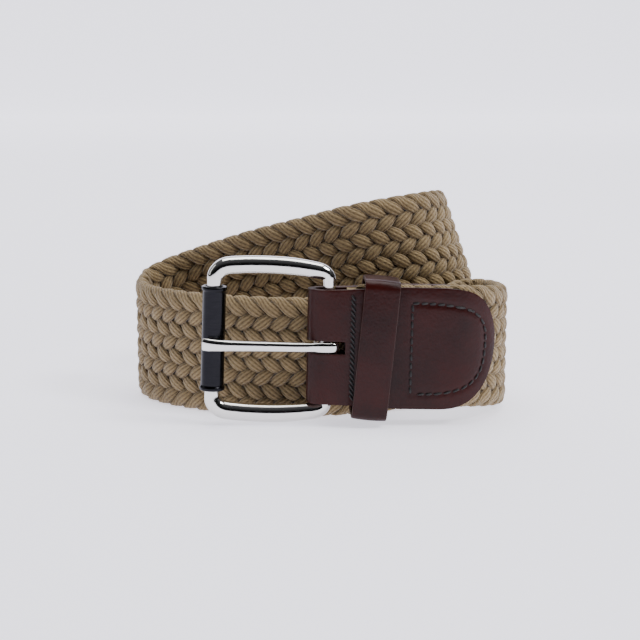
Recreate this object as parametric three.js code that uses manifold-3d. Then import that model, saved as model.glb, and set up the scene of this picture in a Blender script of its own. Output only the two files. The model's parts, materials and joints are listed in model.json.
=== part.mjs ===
// A braided stretch belt, coiled and standing on its lower edge, with a leather
// buckle tab, a leather keeper, a roller buckle and a leather tip.
// Millimetres. +X runs along the front of the coil, +Y goes to its back, +Z is up.
import * as THREE from "three";
import { mergeVertices } from "three/addons/utils/BufferGeometryUtils.js";
import Module from "manifold-3d";

const wasm = await Module();
wasm.setup();

// Clearances
const GAP = 0.3; // between pieces that touch
const RUN = 0.35; // on each side of a turning fit
const KEEPER_PLAY = 1; // keeper to leather, front and back
const KEEPER_LOOSE = 0.1; // left over the strap's long edge where the keeper rests on it

// Webbing
const WEBBING_WIDTH = 35;
const WEBBING_THICKNESS = 4;
const BINDING_LENGTH = 3; // taped band that holds the cut end of the braid

// Leather
const TAB_THICKNESS = 2;
const TAB_HEEL_WIDTH = 32.4; // where the tab folds round the heel bar
const TAB_WIDTH = 34.4; // over the webbing
const TAB_LENGTH = 46.2; // heel bar to rounded end
const TAB_SLOT_END = 5; // prong slot, from the heel bar's axis
const FOLD_SLACK = 1.3; // the fold stands this far off the heel bar, on the buckle's side
const TIP_THICKNESS = 1.6;
const TIP_LENGTH = 44;
const TIP_WIDTH = 34.6;
const KEEPER_WIDTH = 9.9;
const KEEPER_THICKNESS = 1.3;
const KEEPER_CORNER = 1.2; // inner corner radius
const KEEPER_AT = 13.5; // middle of the keeper, from the heel bar's axis
const KEEPER_TILT = 4.5; // degrees that it has slipped out of square
const KEEPER_SAG = 0.55; // it hangs this far below the tab's middle

// Buckle
const HEEL_BAR_DIAMETER = 3.8;
const FRONT_BAR_DIAMETER = 4.2;
const ARM_DEPTH = 4.8; // front to back
const ARM_HEIGHT = 5.2;
const BUCKLE_LENGTH = 31.9; // heel bar axis to front bar axis
const BUCKLE_HEIGHT = 47.4;
const BUCKLE_TILT = 1; // degrees, turned in the tab's fold, front bar up
const ROLLER_DIAMETER = 7.2;
const ROLLER_LENGTH = 29.6;
const PRONG_WIDTH = 2.9;
const PRONG_THICKNESS = 2.6;
const PRONG_TIP_WIDTH = 3.6;
const PRONG_OVERHANG = 2.8; // past the front bar's axis
const RING_WALL = 1.6;

// Thread
const THREAD_WIDTH = 0.9;
const THREAD_HEIGHT = 0.5;
const STITCH_INSET = 3.2; // stitch line to leather edge
const TAB_STITCH_INSET = 4.3; // the same along the tab's long edges
const TAB_STITCH_FROM = 23.5; // straight side of the D, from the heel bar's axis
const FOLD_STITCH_AT = 7; // from the heel bar's axis
const FOLD_STITCH_WIDTH = 1.6;

// Where the heel bar stands, and how the tab lies
const HEEL_AT = new THREE.Vector3(1.9, -5.6, 22.65);
const FRAME_RIDE = 1.05; // the tab has sunk this far below the frame's middle
const TAB_YAW = 2; // degrees, the tab's far end to the back
const TAB_DIP = 1.2; // degrees, the tab's far end down
const TAB_STRAIGHT = [0, 5, 14, 22, 28, 32]; // from the heel bar along the tab

// The webbing's middle line after the tab: x, y, height, lean in degrees.
// It loops back at the right, passes behind the tab, turns at the left and climbs
// in front of the coil.
const LOOPS = [
  [39.0, -3.6, 21.9, 0],
  [45.2, 0.2, 21.2, 0],
  [49.7, 5.6, 20.2, 0],
  [52.6, 12.5, 19.2, 0],
  [53.5, 20.5, 18.6, 0],
  [52.8, 28.5, 18.1, 0],
  [50.6, 34.4, 17.7, 0],
  [46.6, 37.4, 17.5, 0],
  [42.8, 35.2, 17.5, 0],
  [40.4, 29.6, 17.5, 0],
  [36.4, 22.6, 17.5, 0],
  [29.0, 14.9, 17.5, 0],
  [15.4, 7.2, 17.5, 0],
  [2.0, 3.2, 17.5, 0],
  [-9.6, 2.2, 17.5, 0],
  [-22.0, 4.6, 17.5, 0],
  [-34.7, 10.2, 17.5, 0],
  [-45.3, 17.5, 17.5, 0],
  [-52.2, 25.8, 17.7, 0],
  [-54.4, 35.0, 18.5, 0],
  [-51.0, 43.2, 20.3, 0],
  [-43.3, 46.2, 23.3, 0],
  [-32.7, 43.6, 27.4, 0],
  [-17.3, 38.8, 32.8, 0],
  [0.0, 33.6, 37.8, 0],
];

// The coil behind them: half turns that shrink by half the pitch each
const COIL_FRONT = [-7.74, 35.44]; // middle of its straight front
const COIL_YAW = -15; // degrees
const COIL_STRAIGHT = 44;
const COIL_CORE = 4.5; // radius left open round the tip
const COIL_GAP = 1; // between turns
const COIL_PITCH = WEBBING_THICKNESS + COIL_GAP;
const COIL_TIP_ROOM = TIP_THICKNESS + 3 * GAP; // the leather tip is thicker than the webbing
const COIL_HALF_TURNS = 7;
const COIL_RADIUS = COIL_CORE + COIL_TIP_ROOM + (COIL_PITCH * COIL_HALF_TURNS) / 2;
const COIL_STEPS = 4; // points on a half turn, less one
const COIL_END = 40; // straight run after the last half turn
const COIL_DROP = [41.7, 44.6, 44.5, 41.5, 35, 24, 19, 17.7]; // heights as it comes down
const COIL_LEAN = [1, 10, 20, 14, 4]; // degrees

const STEPS_PER_POINT = 3; // sections between two points of the middle line
const FLOOR_HEIGHT = WEBBING_WIDTH / 2;

const radians = THREE.MathUtils.degToRad;
const UP = new THREE.Vector3(0, 0, 1);

// ---- the strap's middle line ----

function tabDirection() {
  const yaw = radians(TAB_YAW);
  const dip = radians(TAB_DIP);
  return new THREE.Vector3(
    Math.cos(dip) * Math.cos(yaw),
    Math.cos(dip) * Math.sin(yaw),
    -Math.sin(dip),
  );
}

function coilPoint(along, across, height, lean) {
  const yaw = radians(COIL_YAW);
  const back = COIL_RADIUS + across;
  return [
    COIL_FRONT[0] + along * Math.cos(yaw) - back * Math.sin(yaw),
    COIL_FRONT[1] + along * Math.sin(yaw) + back * Math.cos(yaw),
    height,
    lean,
  ];
}

function coilPoints() {
  const points = [];
  let side = 1;
  let radius = COIL_RADIUS;
  for (let half = 0; half < COIL_HALF_TURNS; half++) {
    side = half % 2 ? -1 : 1;
    for (let step = 0; step <= COIL_STEPS; step++) {
      const turn = step / COIL_STEPS;
      const angle = Math.PI * (turn - 0.5);
      const count = half * (COIL_STEPS + 1) + step;
      radius = COIL_RADIUS - (COIL_PITCH / 2) * (half + turn);
      if (half === COIL_HALF_TURNS - 1) {
        radius -= COIL_TIP_ROOM * turn;
      }
      points.push(
        coilPoint(
          side * (COIL_STRAIGHT / 2 + radius * Math.cos(angle)),
          side * radius * Math.sin(angle),
          COIL_DROP[count] ?? FLOOR_HEIGHT,
          COIL_LEAN[count] ?? 0,
        ),
      );
    }
  }
  const end = side * (COIL_STRAIGHT / 2 - COIL_END);
  points.push(coilPoint(end, side * radius, FLOOR_HEIGHT, 0));
  return points;
}

// Sections along the strap: place, direction, width direction, thickness direction
function strapSections() {
  const straight = TAB_STRAIGHT.map((along) => [
    ...HEEL_AT.clone().addScaledVector(tabDirection(), along).toArray(),
    0,
  ]);
  const points = [...straight, ...LOOPS, ...coilPoints()];
  const line = new THREE.CatmullRomCurve3(
    points.map(([x, y, z]) => new THREE.Vector3(x, y, z)),
  );
  const sections = [];
  const count = (points.length - 1) * STEPS_PER_POINT;
  let length = 0;
  for (let i = 0; i <= count; i++) {
    const at = line.getPoint(i / count);
    const along = line.getTangent(i / count);
    const before = points[Math.floor(i / STEPS_PER_POINT)];
    const after = points[Math.ceil(i / STEPS_PER_POINT)];
    const part = (i % STEPS_PER_POINT) / STEPS_PER_POINT;
    const lean = radians(THREE.MathUtils.lerp(before[3], after[3], part));
    const across = UP.clone()
      .addScaledVector(along, -along.z)
      .normalize()
      .applyAxisAngle(along, -lean);
    const through = across.clone().cross(along);
    if (i > 0) {
      length += at.distanceTo(sections[i - 1].at);
    }
    sections.push({ at, along, across, through, length });
  }
  return sections;
}

const SECTIONS = strapSections();
const STRAP_LENGTH = SECTIONS[SECTIONS.length - 1].length;

// The point at a length along the strap, off its middle by thickness and by width
function strapPoint(along, through, across) {
  const last = SECTIONS.length - 2;
  let i = 0;
  while (i < last && SECTIONS[i + 1].length <= along) {
    i++;
  }
  const a = SECTIONS[i];
  const b = SECTIONS[i + 1];
  const part = (along - a.length) / (b.length - a.length);
  const mixed = Math.min(Math.max(part, 0), 1);
  return a.at
    .clone()
    .lerp(b.at, part)
    .addScaledVector(a.through.clone().lerp(b.through, mixed).normalize(), through)
    .addScaledVector(a.across.clone().lerp(b.across, mixed).normalize(), across);
}

// ---- geometry helpers ----

// A flat solid in strap coordinates (x along, y through, z across), laid on the strap
function layOnStrap(geometry) {
  const position = geometry.getAttribute("position");
  for (let i = 0; i < position.count; i++) {
    const p = strapPoint(position.getX(i), position.getY(i), position.getZ(i));
    position.setXYZ(i, p.x, p.y, p.z);
  }
  return geometry;
}

// Lengths from one place to another, with a stop at each section between them
function stops(from, to, finer = 1) {
  const inside = SECTIONS.map((section) => section.length).filter(
    (length) => length > from + GAP && length < to - GAP,
  );
  const marks = [from, ...inside, to];
  const all = [from];
  for (let i = 1; i < marks.length; i++) {
    for (let step = 1; step <= finer; step++) {
      all.push(THREE.MathUtils.lerp(marks[i - 1], marks[i], step / finer));
    }
  }
  return all;
}

// A leaf from one length to another: back and front face, and its width there
function leaf(from, to, back, front, widthAt, finer = 1) {
  const along = stops(from, to, finer);
  const steps = along.length - 1;
  const box = new THREE.BoxGeometry(1, 1, 1, steps, 1, 1);
  const position = box.getAttribute("position");
  for (let i = 0; i < position.count; i++) {
    const at = along[Math.round((position.getX(i) + 0.5) * steps)];
    const through = position.getY(i) < 0 ? back : front;
    position.setXYZ(i, at, through, position.getZ(i) * widthAt(at));
  }
  return layOnStrap(box);
}

function toManifold(geometry) {
  const bare = geometry.clone();
  bare.deleteAttribute("normal");
  bare.deleteAttribute("uv");
  const merged = mergeVertices(bare, 1e-4);
  return new wasm.Manifold(
    new wasm.Mesh({
      numProp: 3,
      vertProperties: new Float32Array(merged.getAttribute("position").array),
      triVerts: new Uint32Array(merged.index.array),
    }),
  );
}

function fromManifold(solid) {
  const mesh = solid.getMesh();
  const geometry = new THREE.BufferGeometry();
  geometry.setAttribute("position", new THREE.BufferAttribute(mesh.vertProperties, 3));
  geometry.setIndex(new THREE.BufferAttribute(mesh.triVerts, 1));
  geometry.computeVertexNormals();
  return geometry;
}

function union(...geometries) {
  return fromManifold(geometries.map(toManifold).reduce((a, b) => a.add(b)));
}

function cut(geometry, ...tools) {
  return fromManifold(
    tools.map(toManifold).reduce((a, b) => a.subtract(b), toManifold(geometry)),
  );
}

// A rod along Z
function rod(diameter, length, x, y, sides = 20) {
  const r = diameter / 2;
  return new THREE.CylinderGeometry(r, r, length, sides)
    .rotateX(Math.PI / 2)
    .translate(x, y, 0);
}

function ellipse(width, height, sides) {
  const shape = new THREE.Shape();
  for (let i = 0; i < sides; i++) {
    const angle = (2 * Math.PI * i) / sides;
    const x = (width / 2) * Math.cos(angle);
    const y = (height / 2) * Math.sin(angle);
    if (i === 0) {
      shape.moveTo(x, y);
    } else {
      shape.lineTo(x, y);
    }
  }
  shape.closePath();
  return shape;
}

function sweep(shape, path, steps) {
  return new THREE.ExtrudeGeometry(shape, { steps, extrudePath: path, bevelEnabled: false });
}

// A thread laid on a leather face: a flat strip along an open outline in strap
// coordinates, [along, across], standing off the face
function thread(outline, face, side) {
  const half = THREAD_WIDTH / 2;
  const rows = outline.length - 1;
  const strip = new THREE.BoxGeometry(1, 1, 1, rows, 1, 1);
  const position = strip.getAttribute("position");
  const low = face + side * GAP;
  const high = low + side * THREAD_HEIGHT;
  for (let i = 0; i < position.count; i++) {
    const row = Math.round((position.getX(i) + 0.5) * rows);
    const here = outline[row];
    const before = outline[Math.max(row - 1, 0)];
    const after = outline[Math.min(row + 1, rows)];
    const way = new THREE.Vector2(after[0] - before[0], after[1] - before[1]).normalize();
    const off = position.getZ(i) > 0 ? half : -half;
    const outer = position.getY(i) > 0;
    position.setXYZ(
      i,
      here[0] - way.y * off,
      outer ? Math.max(low, high) : Math.min(low, high),
      here[1] + way.x * off,
    );
  }
  return layOnStrap(strip);
}

// ---- materials ----

function material(color, roughness, metalness) {
  return new THREE.MeshStandardMaterial({ color, roughness, metalness });
}

const cordCotton = material(0xab9670, 0.85, 0);
const tape = material(0x7d6c4e, 0.8, 0);
const leather = material(0x4a1f1a, 0.4, 0);
const blackThread = material(0x17110f, 0.7, 0);
const polishedNickel = material(0xcfcfd2, 0.15, 1);
const darkNickel = material(0x6b6c70, 0.3, 1);

// ---- the strap and its leather ----

const webbingHalf = WEBBING_THICKNESS / 2;
const tabInner = webbingHalf + GAP;
const tabOuter = tabInner + TAB_THICKNESS;
const tipInner = webbingHalf + GAP;
const tipOuter = tipInner + TIP_THICKNESS;
const webbingStart = TAB_SLOT_END + GAP;
const tipEnd = STRAP_LENGTH;
const tipStart = tipEnd - TIP_LENGTH;
const webbingEnd = tipEnd - TIP_WIDTH * 0.18;

function webbing() {
  const from = webbingStart + BINDING_LENGTH + GAP;
  const to = webbingEnd - BINDING_LENGTH - GAP;
  return leaf(from, to, -webbingHalf, webbingHalf, () => WEBBING_WIDTH);
}

function endBinding(from) {
  const width = TAB_HEEL_WIDTH;
  return leaf(from, from + BINDING_LENGTH, -webbingHalf, webbingHalf, () => width);
}

// The tab's width: narrow at the heel bar, full over the webbing, round at its end
function tabWidth(along) {
  const spread = THREE.MathUtils.smoothstep(along, 0, TAB_LENGTH / 2);
  const width = THREE.MathUtils.lerp(TAB_HEEL_WIDTH, TAB_WIDTH, spread);
  const round = TAB_WIDTH * 0.45;
  const into = Math.max(along - (TAB_LENGTH - round), 0) / round;
  return width * Math.max(Math.sqrt(1 - Math.min(into, 1) ** 2.6), 0.22);
}

// One strip of leather: front leaf, fold round the heel bar, back leaf
function tabLeather() {
  const foldSteps = 10;
  const leg = stops(0, TAB_LENGTH, 2);
  const legSteps = leg.length - 1;
  const rows = 2 * legSteps + foldSteps;
  const strip = new THREE.BoxGeometry(1, 1, 1, rows, 1, 1);
  const position = strip.getAttribute("position");
  for (let i = 0; i < position.count; i++) {
    const row = Math.round((position.getX(i) + 0.5) * rows);
    const inner = position.getY(i) < 0;
    const radius = inner ? tabInner : tabOuter;
    let along = 0;
    let through = 0;
    if (row <= legSteps) {
      along = leg[legSteps - row];
      through = -radius;
    } else if (row >= legSteps + foldSteps) {
      along = leg[row - legSteps - foldSteps];
      through = radius;
    } else {
      const angle = (Math.PI * (row - legSteps)) / foldSteps;
      along = -(radius + FOLD_SLACK) * Math.sin(angle);
      through = -radius * Math.cos(angle);
    }
    position.setXYZ(i, along, through, position.getZ(i) * tabWidth(Math.max(along, 0)));
  }
  const slotReach = 2 * (tabOuter + FOLD_SLACK);
  const slot = new THREE.BoxGeometry(
    TAB_SLOT_END + slotReach,
    2 * slotReach,
    PRONG_WIDTH + 2 * RUN,
  ).translate((TAB_SLOT_END - slotReach) / 2, 0, 0);
  return cut(layOnStrap(strip), layOnStrap(slot));
}

// The D-shaped stitch line on the tab's end, open by one stitch at a lower corner
function tabStitchLine() {
  const reach = TAB_LENGTH - STITCH_INSET - TAB_STITCH_FROM;
  const half = TAB_WIDTH / 2 - TAB_STITCH_INSET;
  const sideSteps = 8;
  const roundSteps = 36;
  const line = [];
  for (let i = 0; i <= sideSteps; i++) {
    line.push([TAB_STITCH_FROM, half * ((2 * i) / sideSteps - 1)]);
  }
  for (let i = 1; i < roundSteps; i++) {
    const angle = Math.PI * (0.5 - i / roundSteps);
    const flat = Math.sign(angle) * Math.abs(Math.sin(angle)) ** 0.7;
    line.push([TAB_STITCH_FROM + reach * Math.cos(angle) ** 0.6, half * flat]);
  }
  return line;
}

function foldStitch(side) {
  const from = FOLD_STITCH_AT - FOLD_STITCH_WIDTH / 2;
  const low = side * (tabOuter + GAP);
  const high = low + side * THREAD_HEIGHT;
  const height = TAB_HEEL_WIDTH - STITCH_INSET / 2;
  return leaf(
    from,
    from + FOLD_STITCH_WIDTH,
    Math.min(low, high),
    Math.max(low, high),
    () => height,
  );
}

function tipWidth(along) {
  const round = TIP_WIDTH / 2;
  const into = Math.max(along - (tipEnd - round), 0) / round;
  return TIP_WIDTH * Math.max(Math.sqrt(1 - Math.min(into, 1) ** 2), 0.3);
}

function tipLeaf(side) {
  const low = side * tipInner;
  const high = side * tipOuter;
  return leaf(
    tipStart,
    tipEnd,
    Math.min(low, high),
    Math.max(low, high),
    tipWidth,
    2,
  );
}

function tipStitchLine() {
  const low = -TIP_WIDTH / 2 + STITCH_INSET;
  const turn = tipEnd - TIP_WIDTH / 2;
  const line = [];
  for (let i = 0; i <= 6; i++) {
    line.push([tipStart + STITCH_INSET + ((turn - tipStart - STITCH_INSET) * i) / 6, low]);
  }
  for (let i = 1; i <= 12; i++) {
    const angle = (Math.PI * i) / 12 - Math.PI / 2;
    line.push([turn - low * Math.cos(angle), -low * Math.sin(angle)]);
  }
  for (let i = 5; i >= 0; i--) {
    line.push([tipStart + STITCH_INSET + ((turn - tipStart - STITCH_INSET) * i) / 6, -low]);
  }
  return line;
}

// ---- the keeper ----

const keeperInnerDepth = tabOuter + KEEPER_PLAY;
const keeperLean = (KEEPER_WIDTH / 2) * Math.sin(radians(KEEPER_TILT));
const keeperInnerHeight =
  Math.max(TAB_WIDTH, WEBBING_WIDTH) / 2 + KEEPER_SAG + keeperLean + KEEPER_LOOSE;
const keeperOuterDepth = keeperInnerDepth + KEEPER_THICKNESS;

function roundedBox(depth, height, radius) {
  const shape = new THREE.Shape();
  shape.absarc(depth - radius, height - radius, radius, 0, Math.PI / 2);
  shape.absarc(radius - depth, height - radius, radius, Math.PI / 2, Math.PI);
  shape.absarc(radius - depth, radius - height, radius, Math.PI, 1.5 * Math.PI);
  shape.absarc(depth - radius, radius - height, radius, 1.5 * Math.PI, 2 * Math.PI);
  shape.closePath();
  return shape;
}

// Drawn in the Y, Z plane and extruded along X
function keeperRing(depth, height, radius, width) {
  const ring = new THREE.ExtrudeGeometry(roundedBox(depth, height, radius), {
    depth: width,
    curveSegments: 4,
    bevelEnabled: false,
  });
  return ring.rotateX(Math.PI / 2).rotateZ(Math.PI / 2).translate(-width / 2, 0, 0);
}

function keeperLoop() {
  const outerHeight = keeperInnerHeight + KEEPER_THICKNESS;
  const outer = keeperRing(
    keeperOuterDepth,
    outerHeight,
    KEEPER_CORNER + KEEPER_THICKNESS,
    KEEPER_WIDTH,
  );
  const inner = keeperRing(
    keeperInnerDepth,
    keeperInnerHeight,
    KEEPER_CORNER,
    2 * KEEPER_WIDTH,
  );
  return cut(outer, inner);
}

// The wire staple that joins the keeper's ends, flat on its back
function keeperStaple() {
  const length = KEEPER_WIDTH * 0.6;
  const y = keeperOuterDepth + GAP + THREAD_HEIGHT / 2;
  return new THREE.BoxGeometry(length, THREAD_HEIGHT, THREAD_WIDTH).translate(0, y, 0);
}

// ---- the buckle, heel bar on the Z axis, front bar towards -X ----

const armHalf = BUCKLE_HEIGHT / 2 - ARM_HEIGHT / 2;
const frontBarHalf = ROLLER_LENGTH / 2 + RUN;

function armPath(side) {
  const shoulder = (armHalf + frontBarHalf) / 2;
  const heelHalf = TAB_HEEL_WIDTH / 2 + FRAME_RIDE + 6 * RUN;
  const heelInset = (HEEL_BAR_DIAMETER - ARM_HEIGHT) / 2;
  const outline = [
    [-BUCKLE_LENGTH, frontBarHalf],
    [-BUCKLE_LENGTH * 0.985, shoulder],
    [-BUCKLE_LENGTH * 0.92, armHalf * 0.955],
    [-BUCKLE_LENGTH * 0.77, armHalf * 0.99],
    [-BUCKLE_LENGTH * 0.5, armHalf],
    [-BUCKLE_LENGTH * 0.28, armHalf * 0.978],
    [-BUCKLE_LENGTH * 0.13, armHalf * 0.945],
    [-BUCKLE_LENGTH * 0.035 + heelInset, heelHalf + (armHalf - heelHalf) * 0.45],
    [heelInset, heelHalf],
  ];
  return new THREE.CatmullRomCurve3(
    outline.map(([x, z]) => new THREE.Vector3(x, 0, side * z)),
  );
}

function buckleFrame() {
  const section = ellipse(ARM_HEIGHT, ARM_DEPTH, 12);
  const arms = [1, -1].map((side) => sweep(section, armPath(side), 22));
  const barLength = 2 * armHalf - ARM_HEIGHT / 2;
  return union(
    ...arms,
    rod(FRONT_BAR_DIAMETER, barLength, -BUCKLE_LENGTH, 0, 16),
    rod(HEEL_BAR_DIAMETER, barLength, 0, 0, 16),
  );
}

function roller() {
  const bore = FRONT_BAR_DIAMETER / 2 + RUN;
  const rim = ROLLER_DIAMETER / 2;
  const end = ROLLER_LENGTH / 2;
  const step = 0.25; // the rolled ends stand a little proud
  const profile = [
    [bore, -end],
    [rim - step, -end],
    [rim, -end + step],
    [rim, -end + 4 * step],
    [rim - step, -end + 5 * step],
    [rim - step, end - 5 * step],
    [rim, end - 4 * step],
    [rim, end - step],
    [rim - step, end],
    [bore, end],
    [bore, -end],
  ];
  return new THREE.LatheGeometry(
    profile.map(([x, y]) => new THREE.Vector2(x, y)),
    24,
  )
    .rotateX(Math.PI / 2)
    .translate(-BUCKLE_LENGTH, 0, 0);
}

// The prong: a ring round the heel bar, a shank, and a flattened tip on the roller
function prong() {
  const bore = HEEL_BAR_DIAMETER / 2 + RUN;
  const ringOuter = bore + RING_WALL;
  const rest = -(ROLLER_DIAMETER / 2 + GAP);
  const side = new THREE.Shape();
  side.moveTo(0, -ringOuter);
  side.lineTo(0, -bore - 0.2);
  side.lineTo(-BUCKLE_LENGTH * 0.2, -bore - 0.5);
  side.lineTo(-BUCKLE_LENGTH * 0.86, rest);
  side.lineTo(-BUCKLE_LENGTH - PRONG_OVERHANG, rest);
  side.lineTo(-BUCKLE_LENGTH - PRONG_OVERHANG, rest - PRONG_THICKNESS * 0.35);
  side.lineTo(-BUCKLE_LENGTH + 1.5, rest - PRONG_THICKNESS);
  side.lineTo(-BUCKLE_LENGTH * 0.8, rest - PRONG_THICKNESS);
  side.closePath();
  const shank = new THREE.ExtrudeGeometry(side, {
    depth: PRONG_TIP_WIDTH,
    bevelEnabled: false,
  }).translate(0, 0, -PRONG_TIP_WIDTH / 2);
  const tipFrom = -BUCKLE_LENGTH + ROLLER_DIAMETER / 2;
  const position = shank.getAttribute("position");
  for (let i = 0; i < position.count; i++) {
    const narrow = position.getX(i) > tipFrom ? PRONG_WIDTH / PRONG_TIP_WIDTH : 1;
    position.setZ(i, position.getZ(i) * narrow);
  }
  const ring = rod(2 * ringOuter, PRONG_WIDTH, 0, 0, 28);
  const hole = rod(2 * bore, 2 * PRONG_WIDTH, 0, 0, 28);
  return cut(union(shank, ring), hole);
}

// ---- assembly ----

function mesh(name, geometry, finish) {
  const piece = new THREE.Mesh(geometry, finish);
  piece.name = name;
  return piece;
}

const belt = new THREE.Group();

belt.add(
  mesh("webbing", webbing(), cordCotton),
  mesh("heel_end_binding", endBinding(webbingStart), tape),
  mesh("tip_end_binding", endBinding(webbingEnd - BINDING_LENGTH), tape),
  mesh("tab_leather", tabLeather(), leather),
  mesh("tab_stitch_front", thread(tabStitchLine(), -tabOuter, -1), blackThread),
  mesh("tab_stitch_back", thread(tabStitchLine(), tabOuter, 1), blackThread),
  mesh("fold_stitch_front", foldStitch(-1), blackThread),
  mesh("fold_stitch_back", foldStitch(1), blackThread),
  mesh("tip_leather_front", tipLeaf(-1), leather),
  mesh("tip_leather_back", tipLeaf(1), leather),
  mesh("tip_stitch_front", thread(tipStitchLine(), -tipOuter, -1), blackThread),
  mesh("tip_stitch_back", thread(tipStitchLine(), tipOuter, 1), blackThread),
);

// Everything on the heel bar's own axes: x along the tab, y to the back, z across
const heelAxes = new THREE.Group();
const firstSection = SECTIONS[0];
heelAxes.applyMatrix4(
  new THREE.Matrix4()
    .makeBasis(firstSection.along, firstSection.through, firstSection.across)
    .setPosition(HEEL_AT),
);
const buckleAxes = new THREE.Group();
buckleAxes.rotation.y = radians(BUCKLE_TILT);
const frameAxes = new THREE.Group();
frameAxes.position.set(0, 0, FRAME_RIDE);
frameAxes.add(
  mesh("buckle_frame", buckleFrame(), polishedNickel),
  mesh("buckle_roller", roller(), darkNickel),
);
buckleAxes.add(frameAxes, mesh("buckle_prong", prong(), polishedNickel));
heelAxes.add(buckleAxes);

const keeperAxes = new THREE.Group();
keeperAxes.position.set(KEEPER_AT, 0, -KEEPER_SAG);
keeperAxes.rotation.y = radians(KEEPER_TILT);
keeperAxes.add(
  mesh("keeper_loop", keeperLoop(), leather),
  mesh("keeper_staple", keeperStaple(), darkNickel),
);
heelAxes.add(keeperAxes);
belt.add(heelAxes);

// The origin is the middle of the footprint, on the surface that the belt stands on
const box = new THREE.Box3().setFromObject(belt, true);
belt.position.set(
  -(box.min.x + box.max.x) / 2,
  -(box.min.y + box.max.y) / 2,
  -box.min.z,
);

export default belt;
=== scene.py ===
import json
import math

import bmesh
import bpy
import numpy as np
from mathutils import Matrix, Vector


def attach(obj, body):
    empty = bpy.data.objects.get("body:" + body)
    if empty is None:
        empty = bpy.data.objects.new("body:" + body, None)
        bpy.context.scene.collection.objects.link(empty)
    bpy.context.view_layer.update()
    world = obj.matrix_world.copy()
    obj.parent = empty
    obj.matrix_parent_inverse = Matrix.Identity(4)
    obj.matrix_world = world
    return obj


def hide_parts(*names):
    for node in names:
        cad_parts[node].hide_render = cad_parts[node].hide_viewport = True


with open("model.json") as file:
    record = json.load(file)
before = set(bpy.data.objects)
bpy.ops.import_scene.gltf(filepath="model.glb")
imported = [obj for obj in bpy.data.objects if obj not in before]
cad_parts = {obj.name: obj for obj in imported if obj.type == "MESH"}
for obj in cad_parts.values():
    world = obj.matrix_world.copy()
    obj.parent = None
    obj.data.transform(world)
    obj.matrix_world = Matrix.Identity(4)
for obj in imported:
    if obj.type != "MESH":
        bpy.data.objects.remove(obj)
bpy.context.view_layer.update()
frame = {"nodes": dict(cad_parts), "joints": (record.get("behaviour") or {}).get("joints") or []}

# A braided stretch belt, coiled on its lower edge. Lengths here are millimetres, and
# MM turns them into metres where a piece is made.
MM = 0.001

# Webbing
WEBBING_WIDTH = 35
WEBBING_THICKNESS = 4
BINDING_LENGTH = 3
CORDS = 17
CORD_PITCH = 5.15  # between two floats of the braid, along the webbing
CORD_WIDTH = 3.75
CORD_THICKNESS = 2.0
CORD_RISE = 0.92  # a cord's middle off the webbing's middle
CORD_SWING = 1.2  # how far past CORD_RISE a cord's float rises
CORD_SIDES = 12
CORD_SQUARENESS = 2.3
BRAID_INSET = 0.4  # from the webbing's edge to the outermost cord's middle

# Leather
GAP = 0.3
WEBBING_FACE = WEBBING_THICKNESS / 2 + GAP
TAB_THICKNESS = 2
TAB_HEEL_WIDTH = 32.4
TAB_WIDTH = 34.4
TAB_LENGTH = 46.2
TAB_SLOT_END = 5
TAB_STARTS = [0, 1, 2, 3, 4, TAB_SLOT_END]
FOLD_SLACK = 1.3
TIP_THICKNESS = 1.6
TIP_LENGTH = 44
TIP_WIDTH = 34.6
STITCH_INSET = 3.2
TAB_STITCH_INSET = 4.3
TAB_STITCH_FROM = 23.5
FOLD_STITCH_AT = 7
STITCH_THICKNESS = 0.7
TAB_ROUNDING = 0.45
THIN_ROUNDING = 0.4  # of the tip's leaves and the keeper
KEEPER_WIDTH = 9.9
KEEPER_THICKNESS = 1.3
KEEPER_CORNER = 1.2
KEEPER_AT = 13.5
KEEPER_TILT = 4.5
KEEPER_SAG = 0.55
KEEPER_PLAY = 1
KEEPER_LOOSE = 0.1

# Buckle
HEEL_BAR_DIAMETER = 3.8
FRONT_BAR_DIAMETER = 4.2
ARM_DEPTH = 4.8
ARM_HEIGHT = 5.2
BUCKLE_LENGTH = 31.9
BUCKLE_HEIGHT = 47.4
ROLLER_DIAMETER = 7.2
ROLLER_LENGTH = 29.6
PRONG_WIDTH = 2.9
PRONG_THICKNESS = 2.6
PRONG_TIP_WIDTH = 3.6
PRONG_OVERHANG = 2.8
RING_WALL = 1.6
RUN = 0.35
FRAME_RIDE = 1.05
SWEEP_STEPS = 10
PRONG_STEPS = 6
KEPT_ROUNDING = 0.15

# Camera
CAMERA_AT = [0, -400, 102]
CAMERA_DIP = 10.37
CAMERA_LENS = 80.44

# The strap's middle line: x, y, height, lean in degrees
HEEL_AT = np.array([1.9, -5.6, 22.65])
TAB_YAW = 2
TAB_DIP = 1.2
TAB_STRAIGHT = [0, 5, 14, 22, 28, 32]
LOOPS = [
    [39.0, -3.6, 21.9, 0],
    [45.2, 0.2, 21.2, 0],
    [49.7, 5.6, 20.2, 0],
    [52.6, 12.5, 19.2, 0],
    [53.5, 20.5, 18.6, 0],
    [52.8, 28.5, 18.1, 0],
    [50.6, 34.4, 17.7, 0],
    [46.6, 37.4, 17.5, 0],
    [42.8, 35.2, 17.5, 0],
    [40.4, 29.6, 17.5, 0],
    [36.4, 22.6, 17.5, 0],
    [29.0, 14.9, 17.5, 0],
    [15.4, 7.2, 17.5, 0],
    [2.0, 3.2, 17.5, 0],
    [-9.6, 2.2, 17.5, 0],
    [-22.0, 4.6, 17.5, 0],
    [-34.7, 10.2, 17.5, 0],
    [-45.3, 17.5, 17.5, 0],
    [-52.2, 25.8, 17.7, 0],
    [-54.4, 35.0, 18.5, 0],
    [-51.0, 43.2, 20.3, 0],
    [-43.3, 46.2, 23.3, 0],
    [-32.7, 43.6, 27.4, 0],
    [-17.3, 38.8, 32.8, 0],
    [0.0, 33.6, 37.8, 0],
]
COIL_FRONT = [-7.74, 35.44]
COIL_YAW = -15
COIL_STRAIGHT = 44
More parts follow.
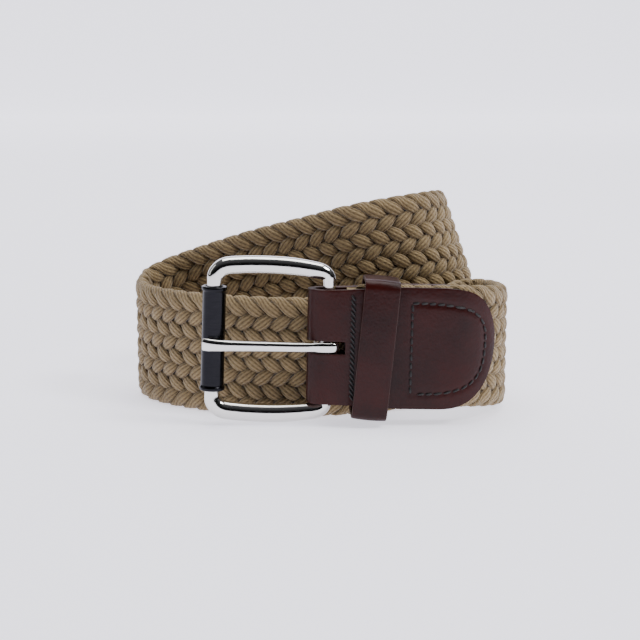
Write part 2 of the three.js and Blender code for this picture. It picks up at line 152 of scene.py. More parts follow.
COIL_PITCH = 5
COIL_TIP_ROOM = TIP_THICKNESS + 3 * GAP
COIL_HALF_TURNS = 7
COIL_CORE = 4.5
COIL_RADIUS = COIL_CORE + COIL_TIP_ROOM + COIL_PITCH * COIL_HALF_TURNS / 2
COIL_STEPS = 4
COIL_END = 40
COIL_DROP = [41.7, 44.6, 44.5, 41.5, 35, 24, 19, 17.7]
COIL_LEAN = [1, 10, 20, 14, 4]
STEPS_PER_POINT = 12
STITCH_SAMPLES = 400
GROOVE_SAMPLES = 140


# ---- the strap's middle line ----


def tab_direction():
    """Which way the tab runs from the heel bar: turned a little back, and dipping."""
    yaw = math.radians(TAB_YAW)
    dip = math.radians(TAB_DIP)
    flat = math.cos(dip)
    return np.array([flat * math.cos(yaw), flat * math.sin(yaw), -math.sin(dip)])


def coil_point(along, across, height, lean):
    """A point of the coil, from the coil's own directions to the object's."""
    yaw = math.radians(COIL_YAW)
    back = COIL_RADIUS + across
    x = COIL_FRONT[0] + along * math.cos(yaw) - back * math.sin(yaw)
    y = COIL_FRONT[1] + along * math.sin(yaw) + back * math.cos(yaw)
    return [x, y, height, lean]


def listed(values, index, otherwise):
    """The value at the index, or the other one past the list's end."""
    return values[index] if index < len(values) else otherwise


def coil_points():
    """Half turns that draw in to the core, and the straight end with the tip on it."""
    points = []
    for half in range(COIL_HALF_TURNS):
        side = -1 if half % 2 else 1
        for step in range(COIL_STEPS + 1):
            turn = step / COIL_STEPS
            angle = math.pi * (turn - 0.5)
            count = half * (COIL_STEPS + 1) + step
            radius = COIL_RADIUS - COIL_PITCH / 2 * (half + turn)
            if half == COIL_HALF_TURNS - 1:
                radius -= COIL_TIP_ROOM * turn
            along = side * (COIL_STRAIGHT / 2 + radius * math.cos(angle))
            height = listed(COIL_DROP, count, WEBBING_WIDTH / 2)
            lean = listed(COIL_LEAN, count, 0)
            points.append(coil_point(along, side * radius * math.sin(angle), height, lean))
    end = side * (COIL_STRAIGHT / 2 - COIL_END)
    points.append(coil_point(end, side * radius, WEBBING_WIDTH / 2, 0))
    return points


def through_points(points, steps):
    """A smooth line through the points (centripetal Catmull-Rom) and its direction."""
    first = 2 * points[0] - points[1]
    last = 2 * points[-1] - points[-2]
    padded = np.vstack([first, points, last])
    places = []
    ways = []
    for i in range(len(points) - 1):
        p0, p1, p2, p3 = padded[i : i + 4]
        d0, d1, d2 = (np.linalg.norm(b - a) ** 0.5 for a, b in ((p0, p1), (p1, p2), (p2, p3)))
        start = ((p1 - p0) / d0 - (p2 - p0) / (d0 + d1) + (p2 - p1) / d1) * d1
        end = ((p2 - p1) / d1 - (p3 - p1) / (d1 + d2) + (p3 - p2) / d2) * d1
        square = -3 * p1 + 3 * p2 - 2 * start - end
        cube = 2 * p1 - 2 * p2 + start + end
        count = steps + 1 if i == len(points) - 2 else steps
        for t in np.arange(count) / steps:
            places.append(p1 + start * t + square * t * t + cube * t**3)
            ways.append(start + 2 * square * t + 3 * cube * t * t)
    ways = np.array(ways)
    return np.array(places), ways / np.linalg.norm(ways, axis=1, keepdims=True)


def strap_sections():
    """Lengths, places, and the ways through and across the strap, all along it."""
    straight = [[*(HEEL_AT + tab_direction() * along), 0] for along in TAB_STRAIGHT]
    points = np.array(straight + LOOPS + coil_points())
    places, ways = through_points(points[:, :3], STEPS_PER_POINT)
    index = np.arange(len(places)) / STEPS_PER_POINT
    lean = np.radians(np.interp(index, np.arange(len(points)), points[:, 3]))[:, None]
    up = np.array([0, 0, 1]) - ways * ways[:, 2:]
    up /= np.linalg.norm(up, axis=1, keepdims=True)
    across = up * np.cos(lean) - np.cross(ways, up) * np.sin(lean)
    steps = np.linalg.norm(np.diff(places, axis=0), axis=1)
    length = np.concatenate([[0], np.cumsum(steps)])
    return length, places, np.cross(across, ways), across


LENGTHS, PLACES, THROUGHS, ACROSSES = strap_sections()
STRAP_LENGTH = LENGTHS[-1]
JOINTS = {joint["name"]: joint for joint in frame["joints"]}
HEEL = np.array(JOINTS["frame_swing"]["pos_m"]) / MM
SHIFT = HEEL - HEEL_AT


def interpolated(along, values):
    return np.stack([np.interp(along, LENGTHS, values[:, i]) for i in range(3)], axis=-1)


def on_strap(along, through, across):
    """Strap coordinates to places in metres: along it, through it, across it."""
    along, through, across = np.broadcast_arrays(along, through, across)
    place = interpolated(along, PLACES)
    place = place + np.minimum(along, 0)[..., None] * tab_direction()
    normal = interpolated(along, THROUGHS)
    side = interpolated(along, ACROSSES)
    normal = normal / np.linalg.norm(normal, axis=-1, keepdims=True)
    side = side / np.linalg.norm(side, axis=-1, keepdims=True)
    return (place + normal * through[..., None] + side * across[..., None] + SHIFT) * MM


# ---- making pieces ----


def grid_piece(
    name, places, wrap_cols=False, wrap_rows=False, capped=False, drop=None, raised=None
):
    """A grid of rows and columns laid on the given places, closed where it meets itself."""
    rows, cols = places.shape[:2]
    bm = bmesh.new()
    bm.loops.layers.uv.new("UVMap")
    bmesh.ops.create_grid(bm, x_segments=cols - 1, y_segments=rows - 1, size=1, calc_uvs=True)
    height = bm.verts.layers.float.new("raised")
    seam = []
    cells = {}
    for vert in bm.verts:
        col = round((vert.co.x + 1) / 2 * (cols - 1))
        row = round((vert.co.y + 1) / 2 * (rows - 1))
        vert.co = places[row, col]
        cells[vert] = (row, col)
        if raised is not None:
            vert[height] = raised[row, col]
        if (wrap_cols and col in (0, cols - 1)) or (wrap_rows and row in (0, rows - 1)):
            seam.append(vert)
    if drop:
        gone = [face for face in bm.faces if all(drop(*cells[v]) for v in face.verts)]
        bmesh.ops.delete(bm, geom=gone, context="FACES")
    bmesh.ops.remove_doubles(bm, verts=seam, dist=1e-7)
    if capped:
        rim = [edge for edge in bm.edges if edge.is_boundary]
        bmesh.ops.holes_fill(bm, edges=rim, sides=0)
    bmesh.ops.recalc_face_normals(bm, faces=bm.faces)
    return from_bmesh(name, bm)


def into_scene(made):
    bpy.context.scene.collection.objects.link(made)
    return made


def from_bmesh(name, bm):
    mesh = bpy.data.meshes.new(name)
    bm.to_mesh(mesh)
    bm.free()
    mesh.shade_smooth()
    mesh.set_sharp_from_angle(angle=math.radians(50))
    return into_scene(bpy.data.objects.new(name, mesh))


def thicken(piece, thickness, rounding):
    """A sheet gets its thickness and rounded edges; its rim takes the second material."""
    solid = piece.modifiers.new("thickness", "SOLIDIFY")
    solid.thickness = thickness * MM
    solid.offset = 0
    solid.use_even_offset = True
    solid.use_rim = True
    solid.material_offset_rim = 1
    edge = piece.modifiers.new("edge", "BEVEL")
    edge.width = rounding * MM
    edge.segments = 3
    edge.limit_method = "ANGLE"
    edge.angle_limit = math.radians(60)
    edge.use_clamp_overlap = True


def finish_piece(piece, body, slot, nodes, *materials):
    """A piece gets its materials, the body it moves with and the nodes it stands for."""
    for each in materials:
        piece.data.materials.append(each)
    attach(piece, body)
    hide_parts(*nodes)


def oval(sides, power):
    """Points round a superellipse of half size one, first point repeated."""
    angle = np.linspace(0, 2 * math.pi, sides + 1)
    c = np.cos(angle)
    s = np.sin(angle)
    reach = (np.abs(c) ** power + np.abs(s) ** power) ** (-1 / power)
    return c * reach, s * reach


def swept(path, plane, widths, depths, sides, power):
    """Rings round a path that lies in one plane: width along its normal, depth in it."""
    way = np.gradient(path, axis=0)
    way /= np.linalg.norm(way, axis=1, keepdims=True)
    inward = np.cross(way, plane)
    c, s = oval(sides, power)
    wide = (widths / 2)[:, None, None] * c[None, :, None] * plane
    deep = (depths / 2)[:, None, None] * s[None, :, None] * inward[:, None, :]
    return path[:, None, :] + wide + deep


# ---- materials ----


def linear(hex_color):
    """An sRGB hex colour as linear RGBA."""
    values = [int(hex_color[i : i + 2], 16) / 255 for i in (1, 3, 5)]
    straight = [v / 12.92 if v <= 0.04045 else ((v + 0.055) / 1.055) ** 2.4 for v in values]
    return (*straight, 1)


def add(tree, kind, links=None, **settings):
    """A node with its settings, and a constant or a link for each named socket."""
    node = tree.nodes.new(kind)
    for name, value in settings.items():
        setattr(node, name, value)
    for key, value in (links or {}).items():
        socket = node.inputs[key]
        if isinstance(value, bpy.types.NodeSocket):
            tree.links.new(value, socket)
        else:
            socket.default_value = value
    return node


def maths(tree, operation, a, b=0.0, c=0.0):
    node = add(tree, "ShaderNodeMath", {0: a, 1: b, 2: c}, operation=operation)
    return node.outputs[0]


def blend_colors(tree, factor, a, b):
    """Colour a where the factor is zero, b where it is one."""
    node = add(tree, "ShaderNodeMix", {0: factor, 6: a, 7: b}, data_type="RGBA")
    return node.outputs[2]


def new_material(name):
    made = bpy.data.materials.new(name)
    made.use_nodes = True
    made.node_tree.nodes.clear()
    return made, made.node_tree


def shade(tree, **sockets):
    """The surface shader, with its sockets by name, and the material's output."""
    named = {name.replace("_", " "): value for name, value in sockets.items()}
    surface = add(tree, "ShaderNodeBsdfPrincipled", named)
    add(tree, "ShaderNodeOutputMaterial", {"Surface": surface.outputs[0]})


def object_place(tree):
    return add(tree, "ShaderNodeTexCoord").outputs["Object"]


def noise(tree, place, scale, detail=2.0, roughness=0.5):
    links = {"Vector": place, "Scale": scale, "Detail": detail, "Roughness": roughness}
    return add(tree, "ShaderNodeTexNoise", links).outputs["Fac"]


def hairlines(tree, place, scale, detail, roughness):
    """Noise drawn out into fine lines."""
    stretched = add(tree, "ShaderNodeMapping", {"Vector": place, "Scale": scale}).outputs[0]
    return noise(tree, stretched, 1.0, detail, roughness)


def bump(tree, height, distance, strength=1.0, over=None):
    links = {"Height": height, "Distance": distance * MM, "Strength": strength}
    if over is not None:
        links["Normal"] = over
    return add(tree, "ShaderNodeBump", links).outputs[0]


def cord_cotton(length):
    """Knitted cover of the elastic cord: fine ribs along it, with slanted stitches, painted shade
    in the ribs' grooves, and painted shade where a cord lies deep in the braid.
    """
    made, tree = new_material("cord_cotton")
    uv = add(tree, "ShaderNodeUVMap", uv_map="UVMap").outputs[0]
    parts = add(tree, "ShaderNodeSeparateXYZ", {0: uv}).outputs
    place = object_place(tree)
    around = maths(tree, "MULTIPLY", parts[0], 11.0)
    ridge = maths(tree, "ABSOLUTE", maths(tree, "SUBTRACT", maths(tree, "FRACT", around), 0.5))
    rib = maths(tree, "SUBTRACT", 1.0, maths(tree, "MULTIPLY", ridge, 2.0))
    run = maths(tree, "MULTIPLY", parts[1], length / 0.95)
    slanted = maths(tree, "ADD", run, maths(tree, "MULTIPLY", ridge, 1.1))
    wave = maths(tree, "SINE", maths(tree, "MULTIPLY", slanted, 2 * math.pi))
    knit = maths(tree, "MULTIPLY_ADD", wave, 0.5, 0.5)
    fluff = noise(tree, place, 2600.0, 3.0, 0.7)
    patches = noise(tree, place, 55.0, 2.0)
    shadow = maths(tree, "MULTIPLY", maths(tree, "POWER", rib, 0.55), 0.75)
    tone = maths(tree, "ADD", shadow, maths(tree, "MULTIPLY", knit, 0.14))
    tone = maths(tree, "ADD", tone, maths(tree, "MULTIPLY", fluff, 0.22))
    tone = maths(tree, "ADD", tone, maths(tree, "MULTIPLY_ADD", patches, 0.5, -0.25))
    color = blend_colors(tree, tone, linear("#47361F"), linear("#A58E67"))
    # Painted shade: where a cord lies deep in the braid, between the floats, its colour is blended
    # towards dark brown.
    raised = add(tree, "ShaderNodeAttribute", attribute_name="raised").outputs["Fac"]
    out_of_painted_shade = maths(tree, "SMOOTH_MIN", maths(tree, "POWER", raised, 0.8), 1.0, 0.2)
    color = blend_colors(tree, out_of_painted_shade, linear("#2A1D10"), color)
    height = maths(tree, "ADD", rib, maths(tree, "MULTIPLY", knit, 0.5))
    height = maths(tree, "ADD", height, maths(tree, "MULTIPLY", fluff, 0.5))
    normal = bump(tree, height, 0.16)
    shade(
        tree,
        Base_Color=color,
        Roughness=0.85,
        Sheen_Weight=0.25,
        Sheen_Roughness=0.5,
        Specular_IOR_Level=0.25,
        Normal=normal,
    )
    return made


def cotton_tape():
    """Plain woven tape over the braid's cut ends."""
    made, tree = new_material("cotton_tape")
    place = object_place(tree)
    threads = add(tree, "ShaderNodeTexWave", {"Vector": place, "Scale": 900.0}).outputs["Fac"]
    color = blend_colors(tree, threads, linear("#6B5A3D"), linear("#9C8760"))
    shade(tree, Base_Color=color, Roughness=0.85, Normal=bump(tree, threads, 0.1))
    return made


def waxed_leather(name, dark, light, gloss):
    """Smooth full-grain leather: fine pores, soft wrinkles, a waxed surface."""
    made, tree = new_material(name)
    place = object_place(tree)
    pores = add(
        tree,
        "ShaderNodeTexVoronoi",
        {"Vector": place, "Scale": 1500.0, "Randomness": 1.0},
        feature="SMOOTH_F1",
    ).outputs["Distance"]
    fine = noise(tree, place, 900.0, 4.0, 0.6)
    clouds = noise(tree, place, 70.0, 3.0)
    tone = maths(tree, "MULTIPLY_ADD", clouds, 1.6, -0.3)
    tone = maths(tree, "ADD", tone, maths(tree, "MULTIPLY_ADD", fine, 0.5, -0.25))
    color = blend_colors(tree, tone, linear(dark), linear(light))
    roughness = maths(tree, "MULTIPLY_ADD", fine, 0.18, gloss)
    grain = maths(tree, "ADD", pores, maths(tree, "MULTIPLY", fine, 0.8))
    normal = bump(tree, clouds, 0.25, 0.5, over=bump(tree, grain, 0.05))
    shade(
        tree,
        Base_Color=color,
        Roughness=roughness,
        Specular_IOR_Level=0.2,
        Normal=normal,
    )
    return made


def raw_edge():
    """The cut edge of the leather, dyed and burnished."""
    made, tree = new_material("dyed_leather_edge")
    place = object_place(tree)
    fibres = noise(tree, place, 1200.0, 4.0, 0.7)
    color = blend_colors(tree, fibres, linear("#1C0D0B"), linear("#4B2A22"))
    shade(tree, Base_Color=color, Roughness=0.6, Normal=bump(tree, fibres, 0.12))
    return made


def waxed_thread():
    """Black waxed sewing thread."""
    made, tree = new_material("waxed_thread")
    place = object_place(tree)
    fibres = noise(tree, place, 3000.0, 2.0)
    color = blend_colors(tree, fibres, linear("#050404"), linear("#150F0D"))
    shade(tree, Base_Color=color, Roughness=0.5, Normal=bump(tree, fibres, 0.08))
    return made


def polished_nickel():
    """Bright nickel plate with a few fine hairline scratches."""
    made, tree = new_material("polished_nickel")
    place = object_place(tree)
    hairs = hairlines(tree, place, (400.0, 400.0, 5000.0), 3.0, 0.6)
    smears = noise(tree, place, 180.0, 2.0)
    roughness = maths(tree, "MULTIPLY_ADD", smears, 0.09, 0.07)
    shade(
        tree,
        Base_Color=linear("#D9D7D3"),
        Metallic=1.0,
        Roughness=roughness,
        Normal=bump(tree, hairs, 0.004, 0.5),
    )
    return made


def dark_nickel():
    """Black nickel plate on the roller and the staple, lightly brushed round."""
    made, tree = new_material("dark_nickel")
    hairs = hairlines(tree, object_place(tree), (300.0, 300.0, 4000.0), 4.0, 0.7)
    color = blend_colors(tree, hairs, linear("#17171A"), linear("#2B2B2E"))
    roughness = maths(tree, "MULTIPLY_ADD", hairs, 0.15, 0.15)
    shade(
        tree,
        Base_Color=color,
        Metallic=1.0,
        Roughness=roughness,
        Normal=bump(tree, hairs, 0.01, 0.6),
    )
    return made


def matte_paper():
    """Pale sheet that the belt stands on."""
    made, tree = new_material("matte_paper")
    fibres = noise(tree, object_place(tree), 600.0, 2.0)
    color = blend_colors(tree, fibres, linear("#DCDBE4"), linear("#E0DFE8"))
    far = add(tree, "ShaderNodeSeparateXYZ", {0: object_place(tree)}).outputs[1]
    ramp = maths(tree, "MULTIPLY_ADD", far, 0.65, -0.05)
    glow = add(tree, "ShaderNodeClamp", {0: ramp, "Max": 1.0}).outputs[0]
    shade(
        tree,
        Base_Color=color,
        Roughness=0.8,
        Specular_IOR_Level=0.1,
        Emission_Color=linear("#DBDAE4"),
        Emission_Strength=maths(tree, "ADD", glow, 1.5),
    )
    return made


# ---- the braid ----

WEBBING_FROM = TAB_SLOT_END + 2 * GAP + BINDING_LENGTH
WEBBING_TO = STRAP_LENGTH - TIP_WIDTH * 0.18 - GAP - BINDING_LENGTH
BRAID_REACH = WEBBING_WIDTH / 2 - BRAID_INSET
TURN_RADIUS = 1.5
TURN_RISE = CORD_RISE * CORD_SWING * math.sin(math.pi / 4)


def cord_line(along, cord):
    """Where a cord runs in the flat braid: across, through, and how it is turned."""
    round_trip = 2 * CORDS
    x = ((along - WEBBING_FROM) / (CORD_PITCH / 2) - 2 * cord) % round_trip
    level = np.where(x <= CORDS, x, round_trip - x)
    rising = x <= CORDS
    across = BRAID_REACH * (2 * level / CORDS - 1)
    over = CORD_SWING * np.sin(math.pi / 2 * (level - 0.5))
    through = np.where(rising, -over, over) * CORD_RISE
    turned = np.where(rising, 0, math.pi)
    top = (x >= CORDS - 1) & (x <= CORDS + 1)
    angle = math.pi / 2 * (x - CORDS + 1)
    edge = BRAID_REACH * (1 - 2 / CORDS)
    across = np.where(top, edge + TURN_RADIUS * np.sin(angle), across)
    through = np.where(top, TURN_RISE * np.cos(angle), through)
    turned = np.where(top, angle, turned)
    past = np.where(x < 2, x + round_trip, x)
    bottom = (past >= round_trip - 1) & (past <= round_trip + 1)
    angle = math.pi / 2 * (past - round_trip + 1)
    across = np.where(bottom, -edge - TURN_RADIUS * np.sin(angle), across)
    through = np.where(bottom, TURN_RISE * np.cos(angle), through)
    turned = np.where(bottom, math.pi - angle, turned)
    swell = np.where(top | bottom, 0.92, 0.8 + 0.17 * over**2)
    return across, through, turned, swell


def cord_places(cord):
    """Rings along a cord, and how far each place stands out of the braid, 0 to 1, which sets the
    painted shade in the braid's gaps.
    """
    count = int((WEBBING_TO - WEBBING_FROM) / (CORD_PITCH / 6))
    along = np.linspace(WEBBING_FROM + GAP, WEBBING_TO - GAP, count)
    across, through, turned, swell = cord_line(along, cord)
    line = np.stack([along, through, across], axis=1)
    way = np.gradient(line, axis=0)
    way /= np.linalg.norm(way, axis=1, keepdims=True)
    flat = np.stack([np.zeros(count), np.cos(turned), np.sin(turned)], axis=1)
    flat -= way * np.sum(flat * way, axis=1, keepdims=True)
    flat /= np.linalg.norm(flat, axis=1, keepdims=True)
    wide = np.cross(way, flat) * (swell * CORD_WIDTH / 2)[:, None]
    c, s = oval(CORD_SIDES, CORD_SQUARENESS)
    ring = line[:, None, :] + wide[:, None, :] * c[None, :, None]
    ring = ring + flat[:, None, :] * s[None, :, None] * CORD_THICKNESS / 2
    above = np.abs(ring[..., 1]) / 1.9
    outside = (np.abs(ring[..., 2]) - BRAID_REACH + 1.4) / 1.6
    raised = np.clip((np.maximum(above, outside) - 0.3) / 0.6, 0, 1)
    return on_strap(ring[..., 0], ring[..., 1], ring[..., 2]), raised


cotton = cord_cotton(WEBBING_TO - WEBBING_FROM)
for cord in range(CORDS):
    places, raised = cord_places(cord)
    name = f"braid_cord_{cord + 1:02d}"
    piece = grid_piece(name, places, wrap_cols=True, capped=True, raised=raised)
    finish_piece(piece, "strap", "webbing_cord", ["webbing"], cotton)


# ---- leather ----

leather = waxed_leather("waxed_leather", "#1A0504", "#380D08", 0.24)
edge_leather = raw_edge()
thread = waxed_thread()
SLOT_HALF = PRONG_WIDTH / 2 + RUN


def round_end(into, side, power):
    """A square patch bent into a half round: into 0 to 1 outwards, side -1 to 1."""
    x = into * np.sqrt(1 - side**2 / 2)
    y = side * np.sqrt(1 - into**2 / 2)
    scale = np.ones_like(x)
    radius = np.hypot(x, y)
    away = radius > 1e-6
    radius = np.where(away, radius, 1)
    for _ in range(40):
        reached = (scale * x / radius) ** power + (scale * np.abs(y) / radius) ** 2
        scale = np.where(away, scale / np.maximum(reached, 1e-9) ** (1 / (power + 0.3)), 1)
    return x * scale, y * scale


def columns(half, slot):
    """Fractions of the half width, with a line on each side of the prong's slot."""
    outer = np.linspace(slot / half, 1, 24)
    return np.concatenate([-outer[::-1], [0], outer])


def smooth(value):
    """From 0 to 1 with a level start and end."""
    value = np.clip(value, 0, 1)
    return value * value * (3 - 2 * value)


def tab_half(along):
    """Half the tab's width, which grows from the heel to its middle."""
    spread = smooth(along / (TAB_LENGTH / 2))
    return (TAB_HEEL_WIDTH + (TAB_WIDTH - TAB_HEEL_WIDTH) * spread) / 2


def flat_leaf(length, width_half, power, rounding, start, slot):
    """Rows of (along, across) from a leaf's start to its round end."""
    cols = columns(width_half(length), slot)
    straight = length - rounding
    marks = start + [v for v in np.arange(0.7, straight, 0.7) if v > start[-1] + 0.3]
    rows_along = [np.full(len(cols), mark) for mark in marks]
    rows_across = []
    for mark in marks:
        half = width_half(mark)
        inner = slot / width_half(length)
        outer = slot + (np.abs(cols) - inner) / (1 - inner) * (half - slot)
        rows_across.append(np.sign(cols) * outer)
    for into in np.linspace(0, 1, 22):
        x, y = round_end(np.full(len(cols), into), cols, power)
        rows_along.append(straight + rounding * x)
        rows_across.append(y * width_half(length))
    return np.array(rows_along), np.array(rows_across)


def tab_stitch_line(count=STITCH_SAMPLES):
    """The D-shaped stitch line on the tab's end, open at a lower corner."""
    reach = TAB_LENGTH - STITCH_INSET - TAB_STITCH_FROM
    half = TAB_WIDTH / 2 - TAB_STITCH_INSET
    angle = np.pi * (0.5 - np.linspace(0, 1, 160)[1:-1])
    flat = np.sign(angle) * np.abs(np.sin(angle)) ** 0.7
    straight = np.linspace(-half, half, 60)
    along = np.concatenate(
        [np.full(60, TAB_STITCH_FROM), TAB_STITCH_FROM + reach * np.cos(angle) ** 0.6]
    )
    across = np.concatenate([straight, half * flat])
    return resampled(np.stack([along, across], axis=1), count)


def resampled(line, count):
    """The same line through evenly spaced places."""
    steps = np.linalg.norm(np.diff(line, axis=0), axis=1)
    length = np.concatenate([[0], np.cumsum(steps)])
    places = np.linspace(0, length[-1], count)
    return np.stack([np.interp(places, length, line[:, i]) for i in range(2)], axis=1)


def groove(along, across, line, depth, width):
    """How deep the leather is drawn in along a stitch line."""
    near = np.full(along.shape, 1e9)
    for x, y in line:
        near = np.minimum(near, (along - x) ** 2 + (across - y) ** 2)
    return depth * np.exp(-near / width**2)


def tab_places():
    """The tab's middle sheet: its front leg, the fold round the heel, its back leg."""
    rounding = TAB_WIDTH * 0.45
    along, across = flat_leaf(TAB_LENGTH, tab_half, 2.6, rounding, TAB_STARTS, SLOT_HALF)
    radius = WEBBING_FACE + TAB_THICKNESS / 2
    drawn = groove(along, across, tab_stitch_line(GROOVE_SAMPLES), 0.26, 0.75)
    fold_drawn = 0.2 * np.exp(-(((along - FOLD_STITCH_AT) / 0.9) ** 2))
    crown = 0.32 * (np.abs(across) / (TAB_WIDTH / 2)) ** 5
    out = radius - drawn - fold_drawn - crown
    front = on_strap(along, -out, across)[::-1]
    back = on_strap(along, out, across)
    angles = np.linspace(0, math.pi, 16)[1:-1]
    fold_across = np.broadcast_to(across[0], (len(angles), across.shape[1]))
    fold = on_strap(
        -(radius + FOLD_SLACK) * np.sin(angles)[:, None],
        -radius * np.cos(angles)[:, None],
        fold_across,
    )
    return np.concatenate([front, fold, back]), len(along), along.shape[1]


def tab_leather():
    """The folded sheet, with the prong's slot left open across the fold."""
    places, leg, cols = tab_places()
    middle = cols // 2
    first = leg - len(TAB_STARTS)
    last = len(places) - 1 - first

    def in_slot(row, col):
        return first <= row <= last and abs(col - middle) <= 1

    piece = grid_piece("tab_leather_folded", places, drop=in_slot)
    thicken(piece, TAB_THICKNESS, TAB_ROUNDING)
    return piece


finish_piece(tab_leather(), "strap", "belt_leather", ["tab_leather"], leather, edge_leather)


def add_stitch(bm, start, end, out, thick):
    """One stitch from start to end, standing on the surface whose normal is out."""
    middle = (start + end) / 2
    way = (end - start).normalized()
    across = out.cross(way).normalized()
    up = way.cross(across)
    made = bmesh.ops.create_uvsphere(bm, u_segments=8, v_segments=6, radius=1)
    half = (end - start).length / 2
    for vert in made["verts"]:
        x, y, z = vert.co
        rounded = (abs(z) ** 0.7) * (1 if z > 0 else -1)
        width = across * (x * thick / 2)
        vert.co = middle + way * (rounded * half) + width + up * (y * thick / 2)


def strap_normal(along):
    """The way through the strap, out of its back face."""
    normal = interpolated(np.array(along), THROUGHS)
    return Vector(normal / np.linalg.norm(normal))


def stitch_row(name, line, face, pitch, length, slant=0.0):
    """Single stitches along a line of (along, across), on the face that far through."""
    steps = np.linalg.norm(np.diff(line, axis=0), axis=1)
    reach = np.concatenate([[0], np.cumsum(steps)])
    count = int(reach[-1] / pitch)
    bm = bmesh.new()
    side = 1 if face > 0 else -1
    for i in range(count):
        middle = (i + 0.5) * reach[-1] / count
        ends = [middle - length / 2, middle + length / 2]
        spots = np.array([[np.interp(e, reach, line[:, k]) for k in range(2)] for e in ends])
        way = spots[1] - spots[0]
        turn = np.array([-way[1], way[0]]) * slant
        start = Vector(on_strap(spots[0][0] - turn[0], face, spots[0][1] - turn[1]))
        end = Vector(on_strap(spots[1][0] + turn[0], face, spots[1][1] + turn[1]))
        out = strap_normal(spots[0][0]) * side
        add_stitch(bm, start, end, out, STITCH_THICKNESS * MM)
    return from_bmesh(name, bm)


tab_outer = WEBBING_FACE + TAB_THICKNESS
fold_half = TAB_HEEL_WIDTH / 2 - 1.2
fold_line = np.stack([np.full(60, FOLD_STITCH_AT), np.linspace(-fold_half, fold_half, 60)], axis=1)
for side, where in ((-1, "front"), (1, "back")):
    row = stitch_row(
        f"tab_stitches_{where}", tab_stitch_line(), side * (tab_outer - 0.1), 2.3, 1.9, 0.05
    )
    finish_piece(row, "strap", "leather_thread", [f"tab_stitch_{where}"], thread)
    row = stitch_row(
        f"fold_stitches_{where}", fold_line, side * (tab_outer + 0.02), 1.5, 1.9, 0.35
    )
    finish_piece(row, "strap", "leather_thread", [f"fold_stitch_{where}"], thread)


# ---- the leather tip ----

TIP_FROM = STRAP_LENGTH - TIP_LENGTH


def tip_half(along):
    """Half the tip's width, the same all along it."""
    return TIP_WIDTH / 2


def tip_stitch_line(count=STITCH_SAMPLES):
    """The stitch line down one side of the tip, round its end and back."""
    low = TIP_WIDTH / 2 - STITCH_INSET
    turn = TIP_LENGTH - TIP_WIDTH / 2
    angle = np.linspace(-math.pi / 2, math.pi / 2, 60)
    along = np.concatenate([[STITCH_INSET], turn + low * np.cos(angle), [STITCH_INSET]])
    across = np.concatenate([[-low], low * np.sin(angle), [low]])
    return resampled(np.stack([along, across], axis=1), count)


tip_along, tip_across = flat_leaf(TIP_LENGTH, tip_half, 2.0, TIP_WIDTH / 2, [0], SLOT_HALF)
tip_drawn = groove(tip_along, tip_across, tip_stitch_line(GROOVE_SAMPLES), 0.22, 0.75)
for side, where in ((-1, "front"), (1, "back")):
    out = side * (WEBBING_FACE + TIP_THICKNESS / 2 - tip_drawn)
    piece = grid_piece(f"tip_leaf_{where}", on_strap(tip_along + TIP_FROM, out, tip_across))
    thicken(piece, TIP_THICKNESS, THIN_ROUNDING)
    finish_piece(
        piece, "strap", "belt_leather", [f"tip_leather_{where}"], leather, edge_leather
    )
    line = tip_stitch_line() + [TIP_FROM, 0]
    face = side * (WEBBING_FACE + TIP_THICKNESS - 0.05)
    row = stitch_row(f"tip_stitches_{where}", line, face, 3.0, 2.5, 0.05)
    finish_piece(row, "strap", "leather_thread", [f"tip_stitch_{where}"], thread)


# ---- axes of the buckle and the keeper ----

FRAME_Z = np.array(JOINTS["frame_swing"]["axis"])
FRONT = np.array(JOINTS["roller_spin"]["pos_m"]) / MM
STRAP_X = tab_direction()
STRAP_Z = ACROSSES[0]
STRAP_Y = THROUGHS[0]
FRAME_X = np.cross(STRAP_Y, FRAME_Z)


def local(points, origin, x, y, z):
    """Places in millimetres on the given axes, in metres."""
    points = np.asarray(points, dtype=float)
    return (origin + points[..., :1] * x + points[..., 1:2] * y + points[..., 2:] * z) * MM


def on_frame(points):
    return local(points, HEEL + FRAME_Z * FRAME_RIDE, FRAME_X, STRAP_Y, FRAME_Z)


def on_prong(points):
    return local(points, HEEL, FRAME_X, STRAP_Y, FRAME_Z)


def on_keeper(points):
    """Places on the keeper's axes, which lean along the tab."""
    tilt = math.radians(KEEPER_TILT)
    x = STRAP_X * math.cos(tilt) - STRAP_Z * math.sin(tilt)
    z = STRAP_X * math.sin(tilt) + STRAP_Z * math.cos(tilt)
    return local(points, HEEL + STRAP_X * KEEPER_AT - STRAP_Z * KEEPER_SAG, x, STRAP_Y, z)


# ---- the keeper ----


def keeper_outline(depth, height, radius, step):
    """Round the keeper in (through, across), from the middle of its back."""
    corners = [(1, 1, 0), (-1, 1, 90), (-1, -1, 180), (1, -1, 270)]
    line = [[depth, 0]]
    for y, z, start in corners:
        for angle in np.radians(np.linspace(start, start + 90, 8)):
            turn = [np.cos(angle) * radius, np.sin(angle) * radius]
            line.append([y * (depth - radius) + turn[0], z * (height - radius) + turn[1]])
    line.append([depth, 0])
    line = np.array(line)
    length = np.sum(np.linalg.norm(np.diff(line, axis=0), axis=1))
    return resampled(line, int(length / step))


